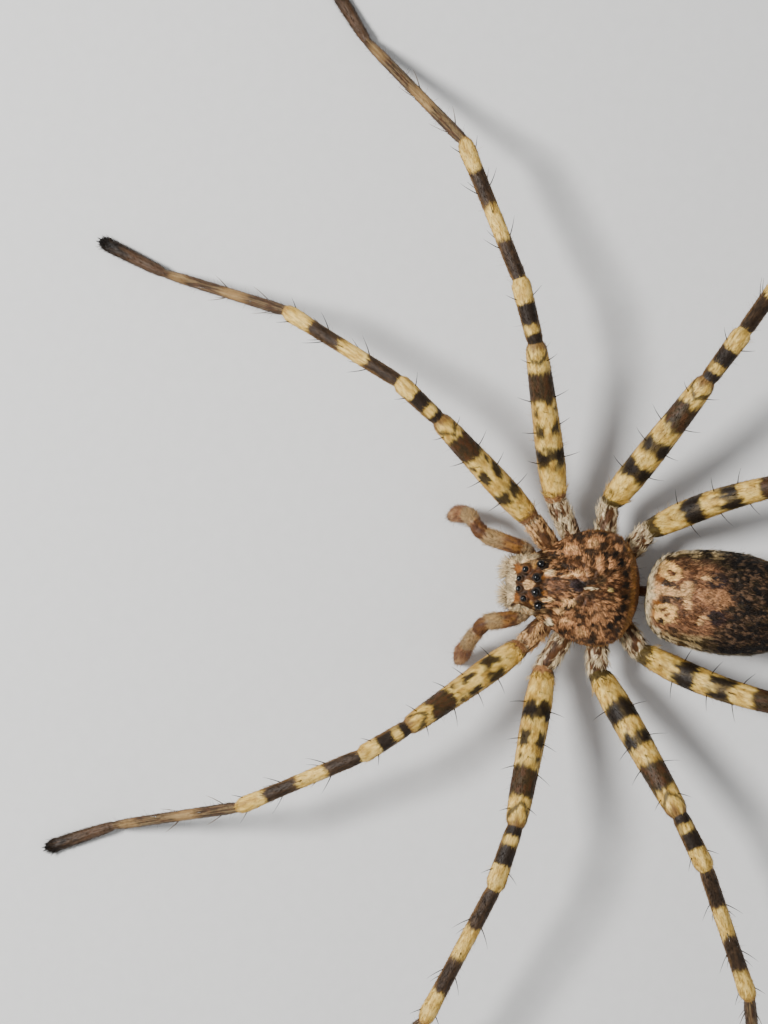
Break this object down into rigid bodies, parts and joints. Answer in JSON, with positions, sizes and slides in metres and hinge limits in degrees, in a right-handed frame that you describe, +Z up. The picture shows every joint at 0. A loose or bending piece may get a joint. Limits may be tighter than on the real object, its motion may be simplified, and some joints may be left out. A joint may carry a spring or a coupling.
{
  "type": "huntsman spider model",
  "caption": "Still, life-size huntsman spider: mottled head shield and abdomen, banded spiny legs spread wide, standing flat on its feet.",
  "frame": {"origin": "on the floor, at the middle of the square that the feet reach", "axes": "+Z up, the head faces -Y, the spider's own left side is +X"},
  "size_m": [0.0992, 0.0926, 0.0116],
  "materials": {
    "carapace": "short brown and cream hairs, mottled, satin",
    "abdomen": "fine hairs, mottled brown and cream, matt",
    "underside": "dark brown, short hairs, satin",
    "jaw": "brown, hairy, satin over a hard shell",
    "fang": "black, hard, glossy",
    "eye": "black, glossy lens",
    "palp": "tan, short hairs, satin",
    "leg_upper": "straw yellow with dark brown bands, short hairs",
    "leg_lower": "brown with paler patches, short hairs, satin",
    "foot": "dark brown dense short hair pads"
  },
  "bodies": {
    "root": {"abdomen": "abdomen", "carapace": "carapace", "chelicera_left": "jaw", "chelicera_right": "jaw", "eye_back_middle_left": "eye", "eye_back_middle_right": "eye", "eye_back_side_left": "eye", "eye_back_side_right": "eye", "eye_front_middle_left": "eye", "eye_front_middle_right": "eye", "eye_front_side_left": "eye", "eye_front_side_right": "eye", "fang_left": "fang", "fang_right": "fang", "leg1_left_coxa": "leg_upper", "leg1_left_femur": "leg_upper", "leg1_left_metatarsus": "leg_lower", "leg1_left_tarsus": "foot", "leg1_left_tibia": "leg_upper", "leg1_right_coxa": "leg_upper", "leg1_right_femur": "leg_upper", "leg1_right_metatarsus": "leg_lower", "leg1_right_tarsus": "foot", "leg1_right_tibia": "leg_upper", "leg2_left_coxa": "leg_upper", "leg2_left_femur": "leg_upper", "leg2_left_metatarsus": "leg_lower", "leg2_left_tarsus": "foot", "leg2_left_tibia": "leg_upper", "leg2_right_coxa": "leg_upper", "leg2_right_femur": "leg_upper", "leg2_right_metatarsus": "leg_lower", "leg2_right_tarsus": "foot", "leg2_right_tibia": "leg_upper", "leg3_left_coxa": "leg_upper", "leg3_left_femur": "leg_upper", "leg3_left_metatarsus": "leg_lower", "leg3_left_tarsus": "foot", "leg3_left_tibia": "leg_upper", "leg3_right_coxa": "leg_upper", "leg3_right_femur": "leg_upper", "leg3_right_metatarsus": "leg_lower", "leg3_right_tarsus": "foot", "leg3_right_tibia": "leg_upper", "leg4_left_coxa": "leg_upper", "leg4_left_femur": "leg_upper", "leg4_left_metatarsus": "leg_lower", "leg4_left_tarsus": "foot", "leg4_left_tibia": "leg_upper", "leg4_right_coxa": "leg_upper", "leg4_right_femur": "leg_upper", "leg4_right_metatarsus": "leg_lower", "leg4_right_tarsus": "foot", "leg4_right_tibia": "leg_upper", "palp_left": "palp", "palp_right": "palp", "pedicel": "underside", "spinnerets": "abdomen", "sternum": "underside"}
  },
  "joints": []
}
